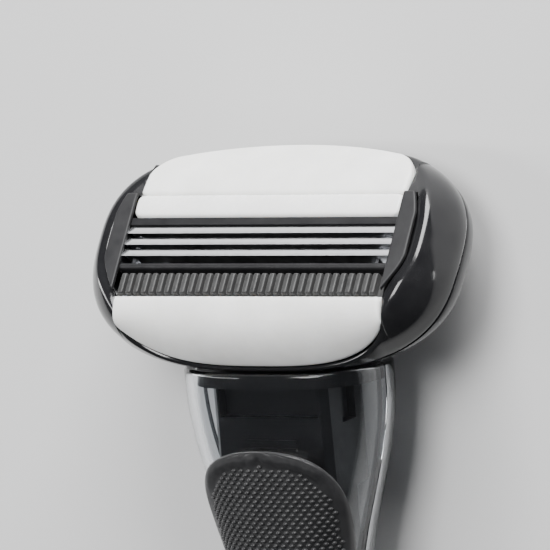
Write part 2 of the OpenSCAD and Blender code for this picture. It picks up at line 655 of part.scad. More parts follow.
module end_cap() {
    steps = 10;
    outer = [
        for (k = [0:steps])
            let (h = cap_start + 0.05 + (handle_l - cap_start - 0.05) * sin(90 * k / steps),
                inset = 3.2 * (1 - cos(90 * k / steps)))
                [for (i = [0:47]) section(h, i * 7.5, inset)]
    ];
    plug = [for (h = [cap_start - 6, cap_start + 0.05]) [for (i = [0:47]) section(h, i * 7.5, shell_wall + 0.1)]];
    color("#141416") in_handle() difference() {
        loft(concat(plug, outer));
        block([-spine_half - 0.1, spine_half + 0.1], [cap_start - 8, cap_start - 0.9], [-12, 12]);
        block([-neck_w, neck_w], [cap_start - 8, handle_l + 1], [-rest_z - 5, -rest_z]);
    }
}
// ---- Release button, ejector and its spring ----
module release_button() {
    color("#26262a") in_handle() {
        block([-2.1, 2.1], [button_y0, button_y0 + 3], [-half_t(11) - 0.5, ejector_z0 - 0.02]);
        intersection() {
            translate([0, button_y0 + 1.5, -half_t(11) - 1.45]) linear_extrude(1.1)
                scale([0.55, 1]) circle(4.4, $fn = 64);
            block([-6, 6], [button_y0 - 4, button_y0 + 8], [-20, 0]);
        }
    }
}
module ejector() {
    color("#3a3a40") in_handle()
        block([-ejector_half_w, ejector_half_w], [hub_y0 + 0.05, ejector_y1], [ejector_z0, ejector_z1]);
}
module button_spring() {
    color("silver") in_handle() translate([0, ejector_y1 + 0.05, (ejector_z0 + ejector_z1) / 2])
        helix(0.36, 0.12, 5.8, 6);
}

head_frame();
rear_cover();
end_panel(-1);  // left_end_panel
end_panel(1);  // right_end_panel
upper_soap_bar();
lower_soap_bar();
upper_bar_tray();
lower_bar_tray();
lubricating_strip();
cap_band();
guard_bar();
guard_strip();
blade_tray();
clip(-1);  // left_clip
clip(1);  // right_clip
pivot_bracket();
blade(1);  // blade_1
blade(2);  // blade_2
blade(3);  // blade_3
blade_support(1);  // blade_1_support
blade_support(2);  // blade_2_support
blade_support(3);  // blade_3_support
blade_springs(1);  // blade_1_springs
blade_springs(2);  // blade_2_springs
blade_springs(3);  // blade_3_springs
cartridge_hub();
plunger();
plunger_spring();
docking_arm();
neck_collar();
inner_core();
core_spine();
front_shell();
rear_shell();
front_grip();
rear_grip();
end_cap();
release_button();
ejector();
button_spring();
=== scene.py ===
"""Looks of a cartridge razor that lies on its back on a pale floor.

Built pieces are drawn in millimetres in one of two local frames and then placed:
  head:   x along the blades, y up the shaving face, n out of the face
  handle: x across, h from the collar to the tail, f out of the grip side
"""
import json
import math

import bmesh
import bpy
import numpy as np
from mathutils import Matrix, Vector
from mathutils.kdtree import KDTree


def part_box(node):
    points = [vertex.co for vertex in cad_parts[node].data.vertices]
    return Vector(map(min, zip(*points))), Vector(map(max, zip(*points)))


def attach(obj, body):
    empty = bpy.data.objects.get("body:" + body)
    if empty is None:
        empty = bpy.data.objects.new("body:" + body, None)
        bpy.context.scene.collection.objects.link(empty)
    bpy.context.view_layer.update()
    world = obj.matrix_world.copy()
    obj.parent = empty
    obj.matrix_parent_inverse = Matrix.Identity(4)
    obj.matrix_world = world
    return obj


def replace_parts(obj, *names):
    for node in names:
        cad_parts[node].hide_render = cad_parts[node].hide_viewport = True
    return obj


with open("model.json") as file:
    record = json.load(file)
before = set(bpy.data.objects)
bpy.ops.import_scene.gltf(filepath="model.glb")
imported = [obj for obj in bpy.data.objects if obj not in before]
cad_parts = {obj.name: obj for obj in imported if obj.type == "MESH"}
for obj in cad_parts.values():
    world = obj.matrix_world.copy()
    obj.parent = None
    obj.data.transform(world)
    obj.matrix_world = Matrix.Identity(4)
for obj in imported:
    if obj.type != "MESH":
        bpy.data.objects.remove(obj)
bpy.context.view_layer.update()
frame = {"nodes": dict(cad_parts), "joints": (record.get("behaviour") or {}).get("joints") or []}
nodes = frame["nodes"]
MM = 0.001

# ---------------------------------------------------------------- frames
float_axis = next(j["axis"] for j in frame["joints"] if j["name"] == "blade_2_float")
SIN_T, COS_T = float_axis[1], -float_axis[2]
HEAD_AXES = Matrix(((-1, 0, 0), (0, -COS_T, -SIN_T), (0, -SIN_T, COS_T)))


def edge_middle():
    """The middle of the middle cutting edge, in metres."""
    co = [HEAD_AXES.transposed() @ v.co for v in nodes["blade_2"].data.vertices]
    low = min(p.y for p in co)
    top = max(p.z for p in co if p.y < low + 0.05 * MM)
    return HEAD_AXES @ Vector((0, low, top))


HEAD = Matrix.Translation(edge_middle()) @ HEAD_AXES.to_4x4() @ Matrix.Scale(MM, 4)
shell_lo, shell_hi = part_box("front_shell")
SHELL_Y0 = -1.8
NECK_T = 16.0
axis_height = shell_hi.z - NECK_T / 2 * MM
HANDLE = (
    Matrix.Translation((0, shell_lo.y - SHELL_Y0 * MM, axis_height)) @ Matrix.Scale(MM, 4)
)

# ---------------------------------------------------------------- sizes in millimetres
BLADE_HALF = 17.0
BAR_HALF = BLADE_HALF - 0.02
BAR_CORNER_R = 3.0
BAR_ARC_R = 3 * BLADE_HALF
PANEL_W, RIM_W, BULGE = 2.2, 1.1, 2.5


def head_box(node):
    """(low, high) of a CAD node in the head's frame, in millimetres."""
    inv = HEAD.inverted()
    co = np.array([inv @ v.co for v in nodes[node].data.vertices])
    return co.min(0), co.max(0)


LUBE_LO, LUBE_HI = head_box("lubricating_strip")
UPPER_LO, UPPER_HI = head_box("upper_soap_bar")
LOWER_LO, LOWER_HI = head_box("lower_soap_bar")
FIN_LO, FIN_HI = head_box("guard_strip")
COVER_LO = head_box("rear_cover")[0]

FACE_TOP, FACE_BOTTOM = float(UPPER_HI[1]) + 0.22, float(LOWER_LO[1]) - 0.35
HALF_W = BLADE_HALF + PANEL_W + RIM_W + BULGE
HALF_H = (FACE_TOP - FACE_BOTTOM) / 2
MID_Y = (FACE_TOP + FACE_BOTTOM) / 2
OUTLINE_N = 2.7
WALL_DEPTH = 5.0
HEAD_DEPTH = -float(COVER_LO[2])
REAR_TAPER = 5.0
COVER_WALL = 1.3
FACE_D0 = 0.2
UPPER_R = 16.0
UPPER_ARC_Y = float(LUBE_HI[1]) - 1.4
LOWER_ARC_Y = float(LOWER_HI[1]) + 1.0
LOWER_R = LOWER_ARC_Y - float(LOWER_LO[1])
SEAM_TOP = WALL_DEPTH + 0.6
SEAM_BOTTOM = FACE_D0 + LOWER_R + 1.1
BAR_EDGE_T = 1.1


def spow(v, p):
    return math.copysign(abs(v) ** p, v)


def outline(a, inset):
    c, s = math.cos(a), math.sin(a)
    return (
        (HALF_W - inset) * spow(c, 2 / OUTLINE_N),
        MID_Y + (HALF_H - inset) * spow(s, 2 / OUTLINE_N),
    )


def outline_y(x, upper, inset):
    """Height of the outline above or below the point x on the blades."""
    k = max(0.0, 1 - abs(x / (HALF_W - inset)) ** OUTLINE_N) ** (1 / OUTLINE_N)
    return MID_Y + (HALF_H - inset) * (k if upper else -k)


def skin_inset(d):
    if d < WALL_DEPTH:
        return BULGE * (1 - max(0.0, d) / WALL_DEPTH) ** 2
    return REAR_TAPER * min(1.0, (d - WALL_DEPTH) / (HEAD_DEPTH - WALL_DEPTH)) ** 4


def crown(y):
    """Depth of the face curve at a height."""
    if y > UPPER_ARC_Y:
        run = min(y, FACE_TOP) - UPPER_ARC_Y
        return FACE_D0 + UPPER_R - math.sqrt(UPPER_R**2 - run**2)
    if y < LOWER_ARC_Y:
        return FACE_D0 + LOWER_R - math.sqrt(max(0.0, LOWER_R**2 - (y - LOWER_ARC_Y) ** 2))
    return FACE_D0


def seam_depth(y):
    sweep_down = max(0.0, -1 - y) / (-1 - FACE_BOTTOM)
    return SEAM_TOP + (SEAM_BOTTOM - SEAM_TOP) * sweep_down**1.4


def bar_far(x, upper):
    """Height of the far edge of a soap bar at x."""
    if not upper:
        return outline_y(x, False, 0.35)
    side = max(0.0, abs(x) - BAR_HALF + BAR_CORNER_R)
    return (FACE_TOP - 0.22 - x**2 / (2 * BAR_ARC_R) - BAR_CORNER_R
            + math.sqrt(max(0.0, BAR_CORNER_R**2 - side**2)))


def bar_drop(x):
    """Depth to which the lower bar wraps round the head."""
    return LOWER_R * max(0.0, 1 - (abs(x) / (BLADE_HALF + 0.5)) ** 4) ** 0.6


def bar_point(x, s, t, upper):
    """Point a share s of the way over a bar, t under its surface."""
    if upper:
        a0 = math.asin((float(UPPER_LO[1]) - UPPER_ARC_Y) / UPPER_R)
        a = a0 + (math.asin((bar_far(x, True) - UPPER_ARC_Y) / UPPER_R) - a0) * s
        r = UPPER_R - t
        return (x, float(UPPER_LO[1]) + r * (math.sin(a) - math.sin(a0)),
                r * math.cos(a) - FACE_D0 - UPPER_R)
    run, drop = LOWER_ARC_Y - bar_far(x, False), bar_drop(x)
    a0 = math.asin((LOWER_ARC_Y - float(LOWER_HI[1])) / run)
    a = a0 + (math.pi / 2 - a0) * s
    t = min(t, 0.6 * drop)
    return (x, float(LOWER_HI[1]) - (run - t) * (math.sin(a) - math.sin(a0)),
            -FACE_D0 - t - (drop - t) * (1 - math.cos(a)))


# ---------------------------------------------------------------- materials
def principled(name):
    mat = bpy.data.materials.new(name)
    mat.use_nodes = True
    tree = mat.node_tree
    return mat, tree, tree.nodes["Principled BSDF"]


def add_node(tree, kind, inputs=None, **props):
    node = tree.nodes.new(kind)
    for key, value in props.items():
        setattr(node, key, value)
    for key, value in (inputs or {}).items():
        node.inputs[key].default_value = value
    return node


def coords(tree, scale=(1, 1, 1), rotation=(0, 0, 0)):
    """Object coordinates in millimetres, stretched by scale."""
    tex = add_node(tree, "ShaderNodeTexCoord")
    mapping = add_node(tree, "ShaderNodeMapping")
    mapping.inputs["Scale"].default_value = [s / MM for s in scale]
    mapping.inputs["Rotation"].default_value = rotation
    tree.links.new(tex.outputs["Object"], mapping.inputs["Vector"])
    return mapping.outputs["Vector"]


def noise(tree, vector, scale, detail=4.0, rough=0.55):
    node = add_node(tree, "ShaderNodeTexNoise",
                    {"Scale": scale, "Detail": detail, "Roughness": rough})
    tree.links.new(vector, node.inputs["Vector"])
    return node.outputs["Fac"]


def remap(tree, value, lo, hi, from_lo=0.3, from_hi=0.7):
    node = add_node(tree, "ShaderNodeMapRange",
                    {"From Min": from_lo, "From Max": from_hi, "To Min": lo, "To Max": hi})
    tree.links.new(value, node.inputs["Value"])
    return node.outputs["Result"]


def tint(tree, value, dark, light, from_lo=0.3, from_hi=0.7):
    ramp = add_node(tree, "ShaderNodeValToRGB")
    ramp.color_ramp.elements[0].position = from_lo
    ramp.color_ramp.elements[0].color = (*dark, 1)
    ramp.color_ramp.elements[1].position = from_hi
    ramp.color_ramp.elements[1].color = (*light, 1)
    tree.links.new(value, ramp.inputs["Fac"])
    return ramp.outputs["Color"]


def bumps(tree, shader, layers):
    """Chains bump nodes: (height, strength, distance in millimetres)."""
    last = None
    for height, strength, distance in layers:
        node = add_node(tree, "ShaderNodeBump", {"Strength": strength, "Distance": distance * MM})
        tree.links.new(height, node.inputs["Height"])
        if last is not None:
            tree.links.new(last, node.inputs["Normal"])
        last = node.outputs["Normal"]
    tree.links.new(last, shader.inputs["Normal"])


def plastic(name, dark, light, rough, grain, grain_depth, coat=0.0, scratches=0.0, specular=0.5):
    """Moulded plastic: colour drift, roughness drift, moulding grain and faint handling scratches."""
    mat, tree, sh = principled(name)
    vec = coords(tree)
    drift = noise(tree, vec, 0.35, 3)
    tree.links.new(tint(tree, drift, dark, light), sh.inputs["Base Color"])
    smudge = noise(tree, vec, 0.9, 5, 0.6)
    tree.links.new(remap(tree, smudge, rough[0], rough[1]), sh.inputs["Roughness"])
    sh.inputs["Specular IOR Level"].default_value = specular
    sh.inputs["Coat Weight"].default_value = coat
    sh.inputs["Coat Roughness"].default_value = 0.06
    layers = [(noise(tree, vec, grain, 3, 0.6), 0.5, grain_depth)]
    if scratches:
        fine = coords(tree, (0.25, 6, 6), (0.3, 0.2, 0.6))
        layers.append((noise(tree, fine, 2.2, 2, 0.5), 0.25, scratches))
    bumps(tree, sh, layers)
    return mat


def rubber(name, dark, light, rough, grain_depth):
    mat, tree, sh = principled(name)
    vec = coords(tree)
    tree.links.new(tint(tree, noise(tree, vec, 0.5, 4), dark, light), sh.inputs["Base Color"])
    tree.links.new(remap(tree, noise(tree, vec, 2.0, 4), rough[0], rough[1]), sh.inputs["Roughness"])
    sh.inputs["Specular IOR Level"].default_value = 0.45
    sh.inputs["Sheen Weight"].default_value = 0.12
    sh.inputs["Sheen Roughness"].default_value = 0.5
    bumps(tree, sh, [(noise(tree, vec, 9.0, 3, 0.6), 0.4, grain_depth)])
    return mat


def soap(name, dark, light, rough, streak):
    """Pressed soap: soft scattering, faint mottling, press streaks along the bar, fine pores."""
    mat, tree, sh = principled(name)
    vec = coords(tree)
    mottle = noise(tree, vec, 0.22, 5, 0.6)
    tree.links.new(tint(tree, mottle, dark, light), sh.inputs["Base Color"])
    tree.links.new(remap(tree, noise(tree, vec, 1.4, 5), rough[0], rough[1]), sh.inputs["Roughness"])
    sh.inputs["Subsurface Weight"].default_value = 0.35
    sh.inputs["Subsurface Radius"].default_value = (1.0, 0.9, 0.8)
    sh.inputs["Subsurface Scale"].default_value = 0.8 * MM
    long_vec = coords(tree, (0.12, 1, 1))
    bumps(tree, sh, [
        (noise(tree, long_vec, 1.6, 4, 0.6), 0.35, streak),
        (noise(tree, vec, 7.0, 3, 0.6), 0.3, 0.012),
    ])
    return mat


def steel(name, base, rough, lines, depth, spread=0.5):
    """Ground steel: grinding lines along or across X, by the stretch of the noise."""
    mat, tree, sh = principled(name)
    vec = coords(tree)
    line = noise(tree, coords(tree, lines), 1.0, 4, 0.6)
    sh.inputs["Metallic"].default_value = 1.0
    dark = [c * (1 - 0.25 * spread) for c in base]
    tree.links.new(tint(tree, line, dark, base), sh.inputs["Base Color"])
    tree.links.new(remap(tree, noise(tree, vec, 1.2, 4), rough[0], rough[1]), sh.inputs["Roughness"])
    bumps(tree, sh, [(line, 0.3, depth)])
    return mat


def clear_plastic(name):
    mat, tree, sh = principled(name)
    vec = coords(tree)
    sh.inputs["Base Color"].default_value = (0.80, 0.82, 0.84, 1)
    sh.inputs["Transmission Weight"].default_value = 1.0
    sh.inputs["IOR"].default_value = 1.49
    tree.links.new(remap(tree, noise(tree, vec, 0.6, 4), 0.01, 0.05), sh.inputs["Roughness"])
    bumps(tree, sh, [(noise(tree, vec, 0.25, 2), 0.15, 0.02)])
    return mat


GLOSS_BLACK = plastic("gloss_black", (0.008, 0.008, 0.009), (0.014, 0.014, 0.015),
                      (0.10, 0.20), 4.0, 0.002, coat=0.25, scratches=0.0015,
                      specular=0.35)
BLACK = plastic("black_plastic", (0.008, 0.008, 0.009), (0.015, 0.015, 0.016),
                (0.36, 0.5), 9.0, 0.010, specular=0.32)
PANEL = plastic("panel_grey", (0.013, 0.013, 0.014), (0.02, 0.02, 0.021),
                (0.42, 0.55), 12.0, 0.012, specular=0.35)
CORE = plastic("core_black", (0.007, 0.007, 0.008), (0.013, 0.013, 0.014),
               (0.28, 0.42), 7.0, 0.006, specular=0.32)
BUTTON = plastic("button_grey", (0.026, 0.026, 0.028), (0.04, 0.04, 0.042),
                 (0.38, 0.5), 9.0, 0.010)
SOAP = soap("soap_white", (0.74, 0.74, 0.72), (0.84, 0.84, 0.825), (0.36, 0.5), 0.03)
LUBE = soap("lube_white", (0.78, 0.78, 0.77), (0.86, 0.86, 0.85), (0.2, 0.32), 0.015)
FINS = rubber("fin_rubber", (0.016, 0.016, 0.016), (0.03, 0.03, 0.03), (0.4, 0.55), 0.01)
GRIP = rubber("grip_rubber", (0.010, 0.010, 0.011), (0.018, 0.018, 0.019), (0.34, 0.5), 0.008)
BLADE = steel("blade_steel", (0.86, 0.87, 0.89), (0.12, 0.22), (0.05, 14, 14), 0.002)
SUPPORT = steel("support_steel", (0.5, 0.51, 0.53), (0.28, 0.42), (0.08, 9, 9), 0.004)
CLIP = steel("clip_metal", (0.85, 0.86, 0.88), (0.14, 0.26), (0.3, 8, 8), 0.003)
PLUNGER = steel("plunger_metal", (0.6, 0.61, 0.63), (0.2, 0.3), (8, 0.2, 8), 0.003)
SPRING = steel("spring_steel", (0.6, 0.61, 0.63), (0.2, 0.32), (2, 2, 2), 0.003)
CLEAR = clear_plastic("clear_shell")


# ---------------------------------------------------------------- mesh tools
def add_mesh(name, points, faces, place, material, body, slot, angle=None):
    mesh = bpy.data.meshes.new(name)
    mesh.from_pydata([tuple(place @ Vector(p)) for p in points], [], faces)
    mesh.validate()
    mesh.update()
    obj = bpy.data.objects.new(name, mesh)
    bpy.context.scene.collection.objects.link(obj)
    obj.data.materials.append(material)
    for poly in mesh.polygons:
        poly.use_smooth = True
    if angle is not None:
        mesh.set_sharp_from_angle(angle=math.radians(angle))
    fix_normals(obj)
    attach(obj, body)
    return obj


def fix_normals(obj):
    bm = bmesh.new()
    bm.from_mesh(obj.data)
    bmesh.ops.recalc_face_normals(bm, faces=bm.faces)
    bm.to_mesh(obj.data)
    bm.free()


def loft(rings, closed=False, cap=True):
    """Points and faces of a skin through rings of equal length."""
    n, m = len(rings[0]), len(rings)
    points = [p for ring in rings for p in ring]
    faces = []
    for i in range(m if closed else m - 1):
        k = (i + 1) % m
        for j in range(n):
            j2 = (j + 1) % n
            faces.append((i * n + j, i * n + j2, k * n + j2, k * n + j))
    if cap and not closed:
        faces.append(tuple(reversed(range(n))))
        faces.append(tuple((m - 1) * n + j for j in range(n)))
    return points, faces


def spread(size, radius, count):
    """Places 0..1 along a length in millimetres, packed where the ends are rounded."""
    r = min(radius, size / 2.2) / size
    near = [r * (1 - math.cos(math.radians(18 * k))) for k in range(6)]
    inner = [r + (1 - 2 * r) * k / count for k in range(1, count)]
    return near + inner + [1 - v for v in reversed(near)]


def edge_drop(du, dv, radius):
    """How far a rounded edge falls at distances du and dv from two crossing edges."""
    a, b = max(0.0, radius - du), max(0.0, radius - dv)
    return radius - math.sqrt(max(0.0, radius**2 - a**2 - b**2))


def pillow(us, vs, at, size, radius, thick):
    """A closed slab with rounded edges; at(u, v, t) is the point t below its surface."""
    nu, nv = len(us), len(vs)
    points = []
    for t0 in (0.0, thick):
        for v in vs:
            for u in us:
                w, h = size(u, v)
                du, dv = min(u, 1 - u) * w, min(v, 1 - v) * h
                drop = edge_drop(du, dv, radius)
                points.append(at(u, v, t0 if t0 else drop))
    faces = []
    for layer in (0, 1):
        base = layer * nu * nv
        for j in range(nv - 1):
            for i in range(nu - 1):
                q = [base + j * nu + i, base + j * nu + i + 1,
                     base + (j + 1) * nu + i + 1, base + (j + 1) * nu + i]
                faces.append(tuple(reversed(q)) if layer else tuple(q))
    rim = ([(0, i) for i in range(nu)] + [(j, nu - 1) for j in range(1, nv)]
           + [(nv - 1, i) for i in range(nu - 2, -1, -1)] + [(j, 0) for j in range(nv - 2, 0, -1)])
    ids = [j * nu + i for j, i in rim]
    low = nu * nv
    for k, a in enumerate(ids):
        b = ids[(k + 1) % len(ids)]
        faces.append((b, a, a + low, b + low))
    return points, faces


def round_corner(p, q, r, count=4):
    """Points of a quarter bend from p to r around the corner q, ends included."""
    out = []
    for k in range(count + 1):
        t = k / count
        out.append(tuple((1 - t) ** 2 * a + 2 * t * (1 - t) * b + t**2 * c
                         for a, b, c in zip(p, q, r)))
    return out


# ---------------------------------------------------------------- head frame
BAR_SIDE = BLADE_HALF + 0.04
BAR_ANGLE = math.degrees(math.acos(((BAR_SIDE + 0.01) / HALF_W) ** (OUTLINE_N / 2)))
PANEL_TOP = float(UPPER_LO[1]) + 0.1
POCKET_CLEARANCE = 0.5
POCKET_RISE = (PANEL_TOP + POCKET_CLEARANCE - MID_Y) / (HALF_H - skin_inset(FACE_D0))
POCKET_ANGLE = math.degrees(math.asin(POCKET_RISE ** (OUTLINE_N / 2)))
POCKET_DEPTH = 0.55
POCKET_X = BLADE_HALF + 1.4
EDGE_R = 0.42
SEAM_R = 0.3


def deg_outline(a, inset, clear):
    """The outline at an angle in degrees, kept off the blade ends if clear."""
    x, y = outline(math.radians(a), inset)
    if clear:
        x = math.copysign(max(BAR_SIDE, abs(x)), x)
    return x, y


def skin_profile(d0, d1, steps=14):
    """(inset, depth) down the side wall, from the rim round its edge to the seam."""
    edge = round_corner((skin_inset(d0) + EDGE_R, d0), (skin_inset(d0), d0),
                        (skin_inset(d0 + EDGE_R), d0 + EDGE_R), 6)
    low, high = d0 + EDGE_R, d1 - SEAM_R
    wall = [(skin_inset(low + (high - low) * k / steps), low + (high - low) * k / steps)
            for k in range(1, steps)]
    lip = round_corner((skin_inset(high), high), (skin_inset(d1), d1),
                       (skin_inset(d1) + SEAM_R, d1), 4)
    return edge + wall + lip


def beside_ring(a, pocket):
    """A closed cut through the frame beside the blades, with or without the panel's pocket."""
    d0 = crown(outline(math.radians(a), 0)[1])
    d1 = seam_depth(outline(math.radians(a), 0)[1])
    floor = d0 + (POCKET_DEPTH if pocket else 0.004)
    rim = skin_inset(d0) + RIM_W
    profile = skin_profile(d0, d1)
    ring = [(*deg_outline(a, i, True), -d) for i, d in profile]
    rx, ry = deg_outline(a, rim, True)
    ix = max(BAR_SIDE, min(POCKET_X, abs(rx) - 0.02)) if pocket else BAR_SIDE
    inner = (math.copysign(ix, rx), ry * 0.97)
    back = deg_outline(a, skin_inset(d1) + COVER_WALL, True)
    wall_r = 0.12 if pocket else 0.001
    ring += [(*back, -d1), (*inner, -(floor + d1) / 2), (*inner, -floor),
             (rx, ry, -floor - 0.001)]
    near, bend = deg_outline(a, rim - wall_r, True), deg_outline(a, rim - wall_r * 0.3, True)
    ring += [(rx, ry, -d0 - wall_r), (*bend, -d0 - wall_r * 0.3), (*near, -d0)]
    return ring


def behind_ring(a, upper):
    """A closed cut through the frame behind a soap bar."""
    edge_y = outline(math.radians(a), 0)[1]
    d1 = seam_depth(edge_y)
    if upper:
        d0 = 3.0
        for _ in range(6):
            run = min(outline(math.radians(a), skin_inset(d0))[1], FACE_TOP) - UPPER_ARC_Y
            d0 = FACE_D0 + UPPER_R - math.sqrt((UPPER_R - BAR_EDGE_T) ** 2 - run**2) + 0.12
    else:
        d0 = FACE_D0 + bar_drop(0.98 * outline(math.radians(a), 0)[0]) + 0.15
    profile = skin_profile(d0, d1)
    ring = [(*deg_outline(a, i, False), -d) for i, d in profile]
    inner = deg_outline(a, skin_inset(d0) + RIM_W + 0.2, False)
    d_in = d0 if upper else FACE_D0 + bar_drop(0.93 * inner[0]) + 0.3
    back = deg_outline(a, skin_inset(d1) + COVER_WALL, False)
    ring += [(*back, -d1), (*inner, -(d_in + d1) / 2), (*inner, -d_in - 0.002)]
    ring += [(*deg_outline(a, skin_inset(d0) + RIM_W * k, False), -d0 - (d_in - d0) * k - 0.001)
             for k in (0.9, 0.75, 0.6, 0.5)]
    return ring


def sweep(a0, a1, n):
    return [a0 + 0.01 + (a1 - a0 - 0.02) * k / n for k in range(n + 1)]


rings = [beside_ring(a, True) for a in sweep(-BAR_ANGLE, POCKET_ANGLE, 110)]
rings += [beside_ring(a, False) for a in sweep(POCKET_ANGLE, BAR_ANGLE, 30)]
rings += [behind_ring(a, True) for a in sweep(BAR_ANGLE, 180 - BAR_ANGLE, 80)]
rings += [beside_ring(a, False) for a in sweep(180 - BAR_ANGLE, 180 - POCKET_ANGLE, 30)]
rings += [beside_ring(a, True) for a in sweep(180 - POCKET_ANGLE, 180 + BAR_ANGLE, 110)]
rings += [behind_ring(a, False) for a in sweep(180 + BAR_ANGLE, 360 - BAR_ANGLE, 80)]
head_frame = add_mesh("head_frame_ring", *loft(rings, closed=True), HEAD, GLOSS_BLACK,
                      "head", "gloss_black", angle=38)
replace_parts(head_frame, "head_frame")


# ---------------------------------------------------------------- rear cover
def cover_ring(s, wall):
    """A ring of the cover, a share s of the way from the seam to the back."""
    ring = []
    for i in range(200):
        a = (i + 0.5) * math.tau / 200
        d0 = seam_depth(outline(a, 0)[1]) + 0.02
        d = d0 + (HEAD_DEPTH - (COVER_WALL if wall else 0) - d0) * s
        extra = COVER_WALL if wall else SEAM_R * max(0.0, 1 - s / 0.05) ** 2
        x, y = outline(a, skin_inset(d) + extra)
        ring.append((x, y, -d))
    return ring


def cut(obj, place, lo, hi, radius):
    """Cuts a block with rounded long edges out of an object."""
    bpy.ops.mesh.primitive_cube_add(size=1)
    tool = bpy.context.active_object
    tool.data.transform(Matrix.Diagonal([b - a for a, b in zip(lo, hi)]).to_4x4())
    tool.data.transform(Matrix.Translation([(a + b) / 2 for a, b in zip(lo, hi)]))
    tool.data.transform(place)
    round_off = tool.modifiers.new("bevel", "BEVEL")
    round_off.width, round_off.segments = radius * MM, 5
    boolean = obj.modifiers.new("cut", "BOOLEAN")
    boolean.operation, boolean.solver, boolean.object = "DIFFERENCE", "EXACT", tool
    graph = bpy.context.evaluated_depsgraph_get()
    mesh = bpy.data.meshes.new_from_object(obj.evaluated_get(graph))
    obj.modifiers.clear()
    obj.data = mesh
    bpy.data.objects.remove(tool)


outer = [cover_ring(s, False) for s in (0, 0.015, 0.03, 0.05)]
outer += [cover_ring(math.sin(math.radians(4 + 86 * k / 24)), False) for k in range(1, 25)]
inner = [cover_ring(math.sin(math.radians(90 * k / 12)), True) for k in range(12, -1, -1)]
rear_cover = add_mesh("rear_cover_shell", *loft(inner + outer), HEAD, GLOSS_BLACK,
                      "head", "gloss_black", angle=35)
BRACKET_LO, BRACKET_HI = head_box("pivot_bracket")
WINDOW_X = max(abs(BRACKET_LO[0]), abs(BRACKET_HI[0])) + 0.2
cut(rear_cover, HEAD, (-WINDOW_X, FACE_BOTTOM - 4, -HEAD_DEPTH - 4),
    (WINDOW_X, 1, 2 - SEAM_TOP), 0.8)
rear_cover.data.set_sharp_from_angle(angle=math.radians(35))
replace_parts(rear_cover, "rear_cover")

# ---------------------------------------------------------------- soap bars and strips
BAR_R = 0.55


def soap_bar(name, upper):
    def at(u, v, t):
        return bar_point((2 * u - 1) * BAR_HALF, v, t, upper)

    def size(u, v):
        x = (2 * u - 1) * BAR_HALF
        across = [Vector(bar_point(x, k / 8, 0, upper)) for k in range(9)]
        return 2 * BAR_HALF, sum((q - p).length for p, q in zip(across, across[1:]))

    us, vs = spread(2 * BAR_HALF, BAR_R, 90), spread(size(0.5, 0)[1], BAR_R, 26)
    return add_mesh(name, *pillow(us, vs, at, size, BAR_R, BAR_EDGE_T), HEAD, SOAP,
                    "head", "soap_white", angle=50)


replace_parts(soap_bar("upper_soap", True), "upper_soap_bar")
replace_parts(soap_bar("lower_soap", False), "lower_soap_bar")

LUBE_Y0, LUBE_Y1 = float(LUBE_LO[1]), float(LUBE_HI[1])
LUBE_HALF = float(LUBE_HI[0])
LUBE_CORNER, LUBE_CURVE = 0.8, 5.4


def lube_half(y):
    """Half length of the strip at a height: its ends are rounded."""
    inward = max(0.0, LUBE_CORNER - min(y - LUBE_Y0, LUBE_Y1 - y))
    return LUBE_HALF - LUBE_CORNER + math.sqrt(max(0.0, LUBE_CORNER**2 - inward**2))


def lube_at(u, v, t):
    y = LUBE_Y0 + (LUBE_Y1 - LUBE_Y0) * v
    lift = math.sqrt(LUBE_CURVE**2 - (y - (LUBE_Y0 + LUBE_Y1) / 2) ** 2) - LUBE_CURVE + 0.05
    return ((2 * u - 1) * lube_half(y), y, lift - t)


lube = add_mesh("lube_strip", *pillow(
    spread(2 * LUBE_HALF, 0.5, 60), spread(LUBE_Y1 - LUBE_Y0, 0.5, 14), lube_at,
    lambda u, v: (2 * LUBE_HALF, LUBE_Y1 - LUBE_Y0), 0.45, 1.4),
    HEAD, LUBE, "head", "lube_white", angle=50)
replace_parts(lube, "lubricating_strip")


# ---------------------------------------------------------------- end panels
def rim_line(a, extra=0.05):
    """Inner edge of the frame's rim."""
    d0 = crown(outline(math.radians(a), 0)[1])
    return deg_outline(a, skin_inset(d0) + RIM_W + extra, False)


PANEL_PROUD = 0.45
PANEL_R = 0.16
panel_edge = [rim_line(-BAR_ANGLE + (BAR_ANGLE + 60) * k / 200) for k in range(201)]
panel_edge = [p for p in panel_edge if p[0] > BAR_SIDE and p[1] < PANEL_TOP - 0.05]
PANEL_Y0, PANEL_Y1 = panel_edge[0][1] + 0.12, panel_edge[-1][1]
PANEL_X1 = BLADE_HALF + PANEL_W - 0.05


def panel_outer(y):
    return min(PANEL_X1, float(np.interp(y, [p[1] for p in panel_edge], [p[0] for p in panel_edge])))


def panel_points(side):
    """A thin slab between the blade ends and the frame's rim, over its pocket."""
    x_in = BAR_SIDE

    def at(u, v, t):
        y = PANEL_Y0 + (PANEL_Y1 - PANEL_Y0) * v
        x = x_in + (panel_outer(y) - x_in) * u
        return (side * x, y, -crown(y) + PANEL_PROUD - t)

    def size(u, v):
        y = PANEL_Y0 + (PANEL_Y1 - PANEL_Y0) * v
        return panel_outer(y) - x_in, PANEL_Y1 - PANEL_Y0

    us = spread(PANEL_W, PANEL_R, 10)
    vs = spread(PANEL_Y1 - PANEL_Y0, PANEL_R, 70)
    return pillow(us, vs, at, size, PANEL_R, PANEL_PROUD - 0.03)


for side, name, node in ((-1, "panel_left", "left_end_panel"), (1, "panel_right", "right_end_panel")):
    panel = add_mesh(name, *panel_points(side), HEAD, PANEL, "head", "panel_grey", angle=50)
    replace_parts(panel, node)

# ---------------------------------------------------------------- guard strip
FIN_Y0, FIN_Y1 = float(FIN_LO[1]), float(FIN_HI[1])
FIN_TOP, FIN_FOOT = 0.02, -1.0
FIN_PITCH = 1.0
FIN_HALF = 0.33
fin_count = int((2 * BLADE_HALF - 0.8) / FIN_PITCH)


